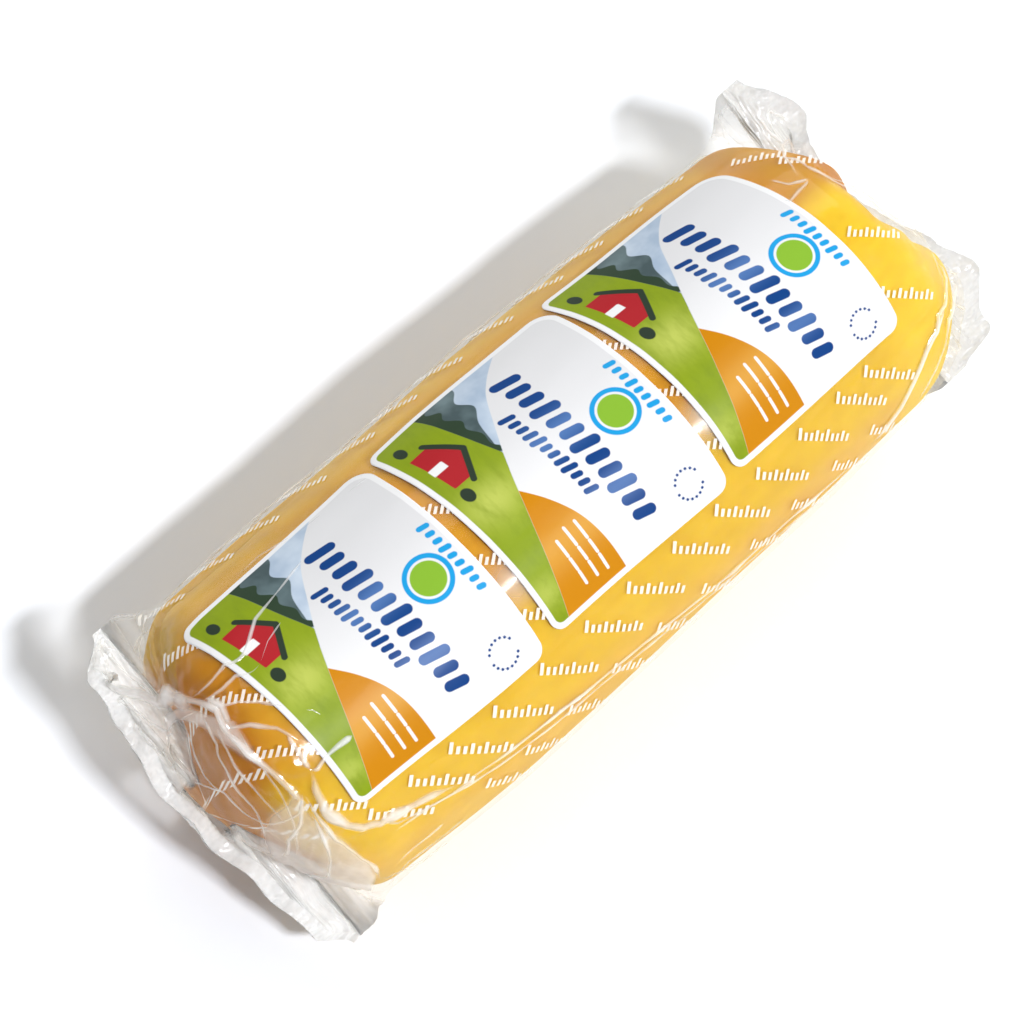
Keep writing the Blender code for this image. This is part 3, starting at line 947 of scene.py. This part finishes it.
FIELD_EDGE = ((-4, 19), (-0.5, 15), (4.5, 8.5), (9, 3.5), (13, 0), (21, -5), (29.5, -10),
              (38, -14), (46.5, -17.3), (55.5, -20.3), (65, -23), (76, -25.8))
ORANGE_EDGE = ((38, -14), (44.9, -9.6), (52.7, -6.2), (61.7, -4.6), (76, -4.2))
HILL_EDGE = ((-4, -4), (2, -1.5), (7, -5), (12, -3.2), (17, -6.5), (24, -8.5), (32, -10.5))
MEADOW_EDGE = ((-4, -15), (5, -13.6), (13, -12.6), (20, -11.2), (28, -9), (34, -7))
FOREST_EDGE = ((-4, -10.5), (0, -9.2), (3, -11.4), (6, -9), (9, -10.6), (13, -8.4), (16, -9.6),
               (20, -8.2), (24, -8.9), (28, -6.4), (34, -5))
ORANGE_MEETS = 7
CURVE_STEPS = 6
RING_AT = (38.5, 19.0)
DOTS_AT = (64.5, 21.5)
DOTS = 18
DOTS_LEFT_OUT = (4, 5, 13)
DOTS_RADIUS = 3.9
LINES = ((52.7, 67.4, -8.6), (52.3, 67.0, -12.0), (53.7, 66.7, -15.6))
LINE_PARTS = ((0.0, 0.36), (0.42, 0.66), (0.72, 1.0))
LINE_HALF = 0.42
STROKE_LEAN = 0.25


def strokes(u, v, start, end, count, height, thick, rhythm):
    """Row of slanted strokes between two places, their heights in a steady rhythm."""
    gap = np.full(u.shape, FAR_OFF)
    for i in range(count):
        t = i / (count - 1)
        cu = start[0] + (end[0] - start[0]) * t
        cv = start[1] + (end[1] - start[1]) * t
        half = 0.5 * height * rhythm[i % len(rhythm)] - 0.5 * thick
        a = (cu - STROKE_LEAN * half, cv - half)
        b = (cu + STROKE_LEAN * half, cv + half)
        gap = np.minimum(gap, segment_gap(u, v, a, b) - 0.5 * thick)
    return gap


def print_fields(u, v):
    """Signed distances in mm to each field of the print, negative inside."""
    def under(edge, *corners):
        return outline_gap(u, v, curve(edge) + [*corners, (-4.0, -40.0)])

    picture = under(FIELD_EDGE, (76.0, -40.0))
    hills = under(HILL_EDGE, (40.0, -40.0))
    meadow = under(MEADOW_EDGE, (76.0, -7.0), (76.0, -40.0))
    forest = under(FOREST_EDGE, (34.0, -40.0))
    shared = curve(FIELD_EDGE)[:CURVE_STEPS * ORANGE_MEETS:-1]
    orange = outline_gap(u, v, curve(ORANGE_EDGE) + shared)
    barn = outline_gap(u, v, [(12.0, -25.0), (27.0, -24.2), (27.0, -19.0), (19.5, -14.6),
                              (12.0, -19.4)])
    roof = np.minimum(segment_gap(u, v, (10.8, -19.8), (19.5, -14.2)),
                      segment_gap(u, v, (28.2, -19.2), (19.5, -14.2))) - 0.8
    bushes = np.minimum(np.hypot((u - 30.5) / 1.3, v + 23.4) - 1.7,
                        np.hypot((u - 7.6) / 1.5, v + 24.0) - 1.5)
    door = np.maximum(np.abs(u - 19.5) - 1.3, np.abs(v + 22.6) - 2.2)
    ring_gap = np.hypot(u - RING_AT[0], v - RING_AT[1])
    dots = np.full(u.shape, FAR_OFF)
    for i in set(range(DOTS)) - set(DOTS_LEFT_OUT):
        turn = math.tau * i / DOTS
        dot_u = DOTS_AT[0] + DOTS_RADIUS * math.cos(turn)
        dot_v = DOTS_AT[1] + DOTS_RADIUS * math.sin(turn)
        dots = np.minimum(dots, np.hypot(u - dot_u, v - dot_v) - LINE_HALF)
    big = strokes(u, v, (12.5, 6.6), (62.5, 7.6), 12, 8.4, 2.8, (1.0, 0.8, 0.8))
    second = strokes(u, v, (21.5, -1.6), (49.5, 0.2), 12, 4.8, 1.6, (1.0, 0.72, 0.72, 0.9))
    arch = strokes(u, v, (28.0, 27.2), (48.5, 27.4), 9, 3.6, 1.5, (1.0, 0.75, 0.75))
    lines = np.full(u.shape, FAR_OFF)
    for a, b, height in LINES:
        for start, end in LINE_PARTS:
            part = segment_gap(u, v, (a + (b - a) * start, height), (a + (b - a) * end, height))
            lines = np.minimum(lines, part - LINE_HALF)
    return {
        "sky": picture,
        "hills": np.maximum(hills, picture),
        "meadow": np.maximum(meadow, picture),
        "forest": np.maximum(np.maximum(forest, -meadow), picture),
        "orange": orange,
        "barn": barn,
        "shade": np.minimum(roof, bushes),
        "leaf": ring_gap - 4.6,
        "light_blue": np.minimum(np.abs(ring_gap - 5.9) - 0.65, arch),
        "deep_blue": np.minimum(np.minimum(big, second), dots),
        "paper": np.minimum(lines, door),
    }


def end_edge(edge, across):
    middle, slant, bow = edge
    return middle + slant * across + bow * (1.0 - across * across)


def corner_inset(u, corner):
    gap = np.maximum(corner - LABEL_ARC * np.minimum(u, 1.0 - u), 0.0)
    return corner - np.sqrt(np.maximum(corner * corner - gap * gap, 0.0))


def surface_radius(x, angle):
    edge = along(NEAR_EDGE, LEAN_SHARE * np.cos(angle - FLAP_TILT))
    lean = (NEAR_EDGE_X - NEAR_FULL_X) / (edge - NEAR_FULL_X)
    station = np.where(x < NEAR_FULL_X, NEAR_FULL_X + (x - NEAR_FULL_X) * lean, x)
    return pack_radius(station, angle)


def label_point(label, u, offset, height):
    centre, rear, front = label[1], label[4], label[5]
    place = offset / LABEL_HALF_LENGTH
    low = rear[0] + rear[1] * place
    high = front[0] + front[1] * place
    angle = 0.5 * math.pi + low + (high - low) * u
    return over_film(centre + offset, angle, height)


def make_label(label, material):
    name, _, near, far = label[:4]
    across_steps = int(LABEL_ARC * 1000.0 / LABEL_PITCH_MM)
    along_steps = int(LABEL_LENGTH_MM / LABEL_PITCH_MM)
    u = np.linspace(0.0, 1.0, across_steps + 1)
    ends = 1.0 - np.cos(np.linspace(0.0, 0.5 * math.pi, CORNER_STEPS))
    corner = LABEL_TOP_CORNER / LABEL_ARC
    u = np.unique(np.concatenate([corner * ends, u, 1.0 - corner * ends]).round(6))[:, None]
    w = np.linspace(0.0, 1.0, along_steps + 1)[None, :]
    across = 2.0 * u - 1.0
    near_line = end_edge(near, across)
    far_line = end_edge(far, across)
    low = near_line + corner_inset(u, LABEL_CORNER)
    high = far_line - np.where(u < 0.5, corner_inset(u, LABEL_TOP_CORNER),
                               corner_inset(u, LABEL_CORNER))
    offset = low + (high - low) * w
    u_all = np.broadcast_to(u, offset.shape)
    top = label_point(label, u_all, offset, LABEL_HEIGHT + PAPER_THICKNESS)
    bottom = label_point(label, u_all, offset, LABEL_HEIGHT)

    # place on the print in mm, from the rear edge and from the label's middle
    pu = u_all * PRINT_ARC
    pv = PRINT_LOW + (PRINT_HIGH - PRINT_LOW) * (offset - near_line) / (far_line - near_line)
    fields = print_fields(pu, pv)
    # the white border follows the outline, rounded corners included
    edge_u = np.minimum(pu, PRINT_ARC - pu)
    edge_v = np.minimum(pv - PRINT_LOW, PRINT_HIGH - pv)
    side = np.minimum(edge_u, edge_v)
    radius = 1000.0 * np.where((pu < PRINT_ARC / 2.0) & (pv > 0.0), LABEL_TOP_CORNER,
                               LABEL_CORNER)
    cu = np.maximum(radius - edge_u, 0.0)
    cv = np.maximum(radius - edge_v, 0.0)
    side = np.where((cu > 0.0) & (cv > 0.0), radius - np.hypot(cu, cv), side)
    fields["paper"] = np.minimum(fields["paper"], side - BORDER_MM)

    shares = {
        # painted highlight: the meadow lighter in soft patches
        "mist": 0.75 * hump(pu, 36.0, 6.0) * hump(pv, -20.0, 9.0)
                + 0.5 * hump(pu, 62.0, 4.0) * hump(pv, -26.0, 5.0),
        # painted shade: the paper greyer toward the rear edge
        "dim": fall(pu, 46.0, 26.0),
        # painted highlight on the orange field
        "gleam": 0.5 * hump(pu, 55.0, 5.0),
        # painted highlight on the deep blue strokes
        "fade": hump(pu, 33.0, 5.0) + 0.8 * hump(pu, 53.0, 4.0),
    }
    total = offset.size
    count = offset.shape[1]
    grid = np.arange(total).reshape(offset.shape)
    faces = [(a, a + count, a + count + 1, a + 1) for a in grid[:-1, :-1].ravel().tolist()]
    faces += [tuple(total + k for k in reversed(face)) for face in faces]
    rim = [*grid[0], *grid[1:, -1], *grid[-1, -2::-1], *grid[-2:0:-1, 0]]
    rim = [int(k) for k in rim]
    for a, b in zip(rim, rim[1:] + rim[:1]):
        faces.append((a, b, total + b, total + a))
    points = np.concatenate([top.reshape(-1, 3), bottom.reshape(-1, 3)])
    # the underside is plain paper
    values = {key: np.concatenate([value.ravel(), np.full(total, OUTSIDE)])
              for key, value in fields.items()}
    values["paper"][total:] = -OUTSIDE
    for key, value in shares.items():
        values[key] = np.concatenate([np.clip(value, 0.0, 1.0).ravel(), np.zeros(total)])
    return make_mesh("print_" + name, points, faces, material, values)


# --- film's print

# Groups of strokes: the angle of each row round the log, and stations in mm
ROWS = (
    (154, (-85, -72.5, -60, -46, -30, -14, 1, 17, 32, 47, 63, 78, 89)),
    (177, (-55, -42, -27, -11, 5, 21, 39, 55, 71, 86)),
    (38, (-92, -76, -61, -45, -28, -13, 3, 21, 39, 54, 69, 84)),
    (14, (-84, -68, -52, -37, -21, -5, 11, 28, 44, 60, 76, 91)),
    (64.5, (-98, 103)),
    (78, (-110, 110)),
    (91, (-98.5,)),
    (113, (-98.5, 106.6)),
    (135.5, (-98, 104)),
    (108, (-111,)),
    (139, (-109.5,)),
    (88, (-31, 36)),
    (110, (-31, 36)),
    (131, (-31, 36)),
)
DASH_LENGTH = 0.0155
STROKES = 10
STROKE_ROWS = 4
STROKE_WIDTH = 0.0008
STROKE_SLANT = 0.18
STROKE_HEIGHT = 0.0029
STROKE_RHYTHM = (1.0, 0.66, 0.66, 0.9, 0.66)
FILM_RADIUS = 0.047
INK_HEIGHT = 0.00025


def make_dashes(material):
    """Short upright strokes in groups, each a thin patch that follows the film."""
    places_x, angles, faces = [], [], []
    for row_angle, places in ROWS:
        # how steps along the log and round it run on a level line and an upright one
        steep = math.radians(min(max(row_angle, 90.0), 154.0))
        flat_way = np.array([[0.709, 0.705 * math.sin(steep)],
                             [0.622, 0.469 * math.cos(steep) - 0.626 * math.sin(steep)]])
        to_surface = np.linalg.inv(flat_way)
        for place in places:
            for k in range(STROKES):
                away = (k - 0.5 * (STROKES - 1)) * DASH_LENGTH / STROKES
                tallness = STROKE_HEIGHT * STROKE_RHYTHM[k % len(STROKE_RHYTHM)]
                start = len(places_x)
                for m in range(STROKE_ROWS + 1):
                    tall = tallness * m / STROKE_ROWS - 0.4 * STROKE_HEIGHT
                    for side in (-0.5, 0.5):
                        level = away + STROKE_WIDTH * side + STROKE_SLANT * tall
                        along_x, around = to_surface @ np.array([level, tall])
                        places_x.append(place / 1000.0 + along_x)
                        angles.append(math.radians(row_angle) + around / FILM_RADIUS)
                for m in range(STROKE_ROWS):
                    a = start + 2 * m
                    faces.append((a, a + 1, a + 3, a + 2))
    points = over_film(np.array(places_x), np.array(angles), INK_HEIGHT)
    return make_mesh("film_print", points, faces, material)


film = film_material()
film_pieces = make_film(film)
film_pieces.append(make_folds(film))
cheese = make_cheese(cheese_material())
print_look = label_material()
labels = [make_label(label, print_look) for label in LABELS]
dashes = make_dashes(ink_material())

for piece in film_pieces + [cheese, dashes]:
    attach(piece, "root")
    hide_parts("pack")
for piece, label in zip(labels, LABELS):
    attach(piece, "root")
    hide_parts(label[0])

# --- floor, camera, light

FLOOR_HALF = 2.5
FLOOR_DROP = 0.0003
floor = make_mesh("floor", [(FLOOR_HALF * x, FLOOR_HALF * y, -FLOOR_DROP)
                            for x, y in ((-1, -1), (1, -1), (1, 1), (-1, 1))],
                  [(0, 1, 2, 3)], floor_material())

MIDDLE = Vector((0.0, 0.0, AXIS_HEIGHT))
CAMERA_TURN = math.radians(-44.82)
CAMERA_TILT = math.radians(62.0)
CAMERA_DISTANCE = 0.72063
CAMERA_OFFSET = (-0.005423, 0.002895)


def placed(name, data, across, upward, back, place):
    """New object at a place, its own X, Y and Z along three directions."""
    made = bpy.data.objects.new(name, data)
    matrix = Matrix((across, upward, back)).transposed().to_4x4()
    matrix.translation = place
    made.matrix_world = matrix
    bpy.context.scene.collection.objects.link(made)
    return made


camera_data = bpy.data.cameras.new("camera")
camera_data.lens = 97.26
camera_data.sensor_width = 36.0
camera_data.clip_start = 0.01
back = Vector((math.sin(CAMERA_TURN) * math.cos(CAMERA_TILT),
               -math.cos(CAMERA_TURN) * math.cos(CAMERA_TILT), math.sin(CAMERA_TILT)))
right = Vector((math.cos(CAMERA_TURN), math.sin(CAMERA_TURN), 0.0))
up = back.cross(right)
spot = MIDDLE + back * CAMERA_DISTANCE + right * CAMERA_OFFSET[0] + up * CAMERA_OFFSET[1]
bpy.context.scene.camera = placed("camera", camera_data, right, up, back, spot)


def add_light(name, direction, distance, size, power, colour=(1.0, 1.0, 1.0)):
    """Soft box that looks at the log from a direction, its first side along X."""
    data = bpy.data.lights.new(name, "AREA")
    data.shape = "RECTANGLE"
    data.size, data.size_y = size
    data.energy = power
    data.color = colour
    way = Vector(direction).normalized()
    side = Vector((1.0, 0.0, 0.0))
    side = (side - way * side.dot(way)).normalized()
    return placed(name, data, side, way.cross(side), way, MIDDLE + way * distance)


DAYLIGHT = (0.99, 1.0, 1.05)
add_light("key", (-0.09, -0.68, 1.0), 1.4, (0.16, 0.07), 14.8, DAYLIGHT)
# a long strip that only shows in the gloss, so it leaves the key light's shadows as they are
gleam = add_light("gleam", (0.20, -0.68, 1.0), 1.4, (0.80, 0.07), 16.0, DAYLIGHT)
gleam.visible_diffuse = False
add_light("overhead", (0.45, 0.50, 1.0), 1.2, (1.2, 0.8), 4.7)

# the room's light fades upward, and grows toward +X and the rear
ROOM = (("Z", 0.0, 1.0, 1.12, 0.10), ("Y", 0.0, 1.0, 1.0, 1.2), ("X", -1.0, 1.0, 0.12, 1.75))
world = bpy.data.worlds.new("studio")
world.use_nodes = True
sky = world.node_tree
way = node(sky, "ShaderNodeTexCoord", out="Generated")
high, rear, side = (ramp(sky, node(sky, "ShaderNodeSeparateXYZ", way, out=axis), *light)
                    for axis, *light in ROOM)
backdrop = sky.nodes["Background"].inputs
backdrop["Color"].default_value = (1.0, 1.0, 1.0, 1.0)
sky.links.new(math_node(sky, "MULTIPLY", high, math_node(sky, "MULTIPLY", rear, side)),
              backdrop["Strength"])
bpy.context.scene.world = world
bpy.context.scene.view_settings.view_transform = "Standard"
